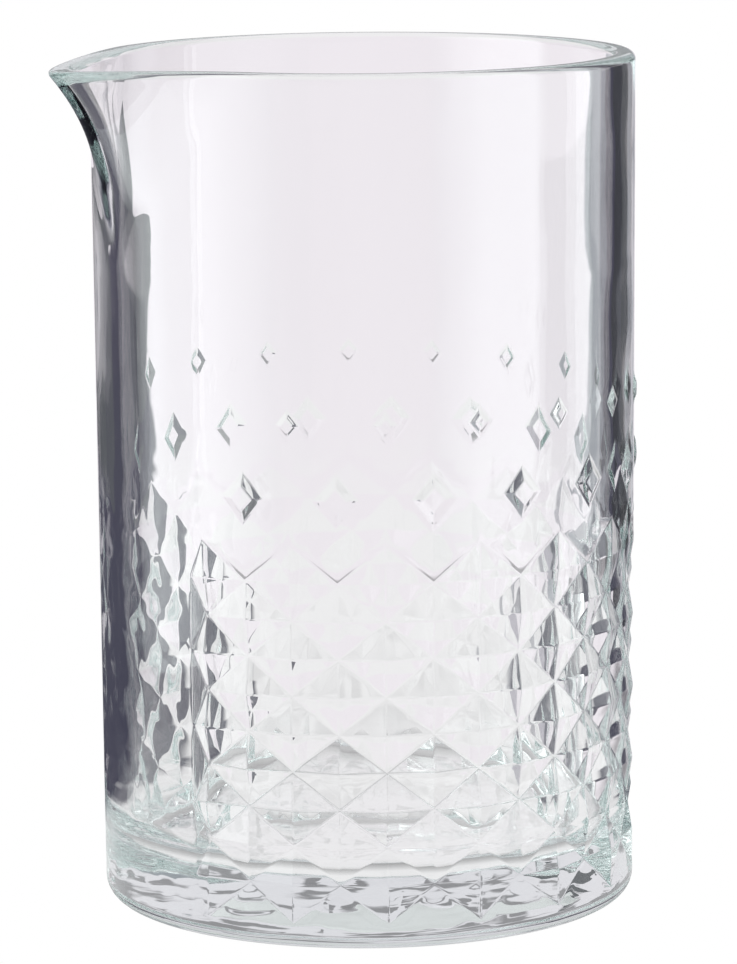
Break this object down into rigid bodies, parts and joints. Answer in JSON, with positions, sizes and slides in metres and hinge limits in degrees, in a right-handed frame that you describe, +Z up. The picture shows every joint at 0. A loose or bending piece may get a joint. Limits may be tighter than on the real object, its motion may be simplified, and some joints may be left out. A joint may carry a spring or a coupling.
{
  "type": "cocktail mixing glass",
  "caption": "Heavy-based clear pressed-glass cup with a pinched pouring spout and a lattice of raised diamonds on its lower half, for stirring and pouring mixed drinks.",
  "frame": {"origin": "centre of the flat underside, on the axis of the round cup", "axes": "+Z up along the axis of the cup, -X towards the tip of the pouring spout, XZ is the plane of symmetry"},
  "size_m": [0.1056, 0.0954, 0.149],
  "materials": {
    "clear_glass": "clear, polished pressed glass with a faint cool tint in thick places"
  },
  "bodies": {
    "root": {"mixing_glass": "clear_glass"}
  },
  "joints": []
}
